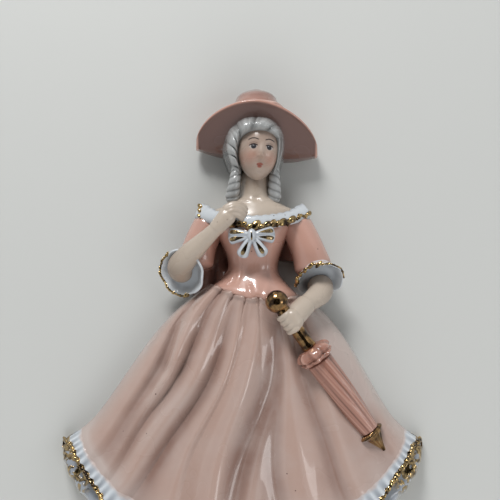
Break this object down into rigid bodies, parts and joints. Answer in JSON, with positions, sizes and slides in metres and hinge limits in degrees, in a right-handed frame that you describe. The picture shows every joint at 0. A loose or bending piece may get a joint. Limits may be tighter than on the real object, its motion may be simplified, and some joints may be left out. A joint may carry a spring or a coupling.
{
  "type": "wall figurine",
  "caption": "Flat-backed glazed porcelain lady in a wide gown and brimmed hat, one hand at the chest, the other on a closed parasol.",
  "frame": {"origin": "centre of the outline, on the plane of the flat back", "axes": "+Z out of the flat back towards the viewer, +Y from the hem to the hat, +X towards the lady's left hand and the parasol"},
  "size_m": [0.1488, 0.1964, 0.032],
  "materials": {
    "shell_pink_glaze": "clear gloss glaze over airbrushed pale pink",
    "deep_pink_glaze": "clear gloss glaze over airbrushed salmon pink",
    "hat_pink_glaze": "clear gloss glaze over dusky pink",
    "white_glaze": "gloss white glaze",
    "skin_glaze": "clear gloss glaze over ivory",
    "hair_glaze": "clear gloss glaze over pale grey",
    "gold_lustre": "fired bright gold lustre over glaze"
  },
  "bodies": {
    "root": {"skirt": "shell_pink_glaze", "hem_flounce": "white_glaze", "petticoat_flounce": "white_glaze", "bodice": "deep_pink_glaze", "bust": "skin_glaze", "head": "skin_glaze", "hair": "hair_glaze", "ringlet_right": "hair_glaze", "ringlet_left": "hair_glaze", "hat_brim": "hat_pink_glaze", "hat_crown": "hat_pink_glaze", "hat_band": "deep_pink_glaze", "collar": "white_glaze", "bow_knot": "white_glaze", "bow_loop_right": "white_glaze", "bow_loop_left": "white_glaze", "bow_tail_right": "white_glaze", "bow_tail_left": "white_glaze", "sleeve_right": "deep_pink_glaze", "sleeve_left": "deep_pink_glaze", "cuff_right": "white_glaze", "cuff_left": "white_glaze", "arm_right": "skin_glaze", "arm_left": "skin_glaze", "parasol_knob": "gold_lustre", "parasol_shaft": "gold_lustre", "parasol_frill": "deep_pink_glaze", "parasol_canopy": "deep_pink_glaze", "parasol_tip": "gold_lustre"}
  },
  "joints": []
}
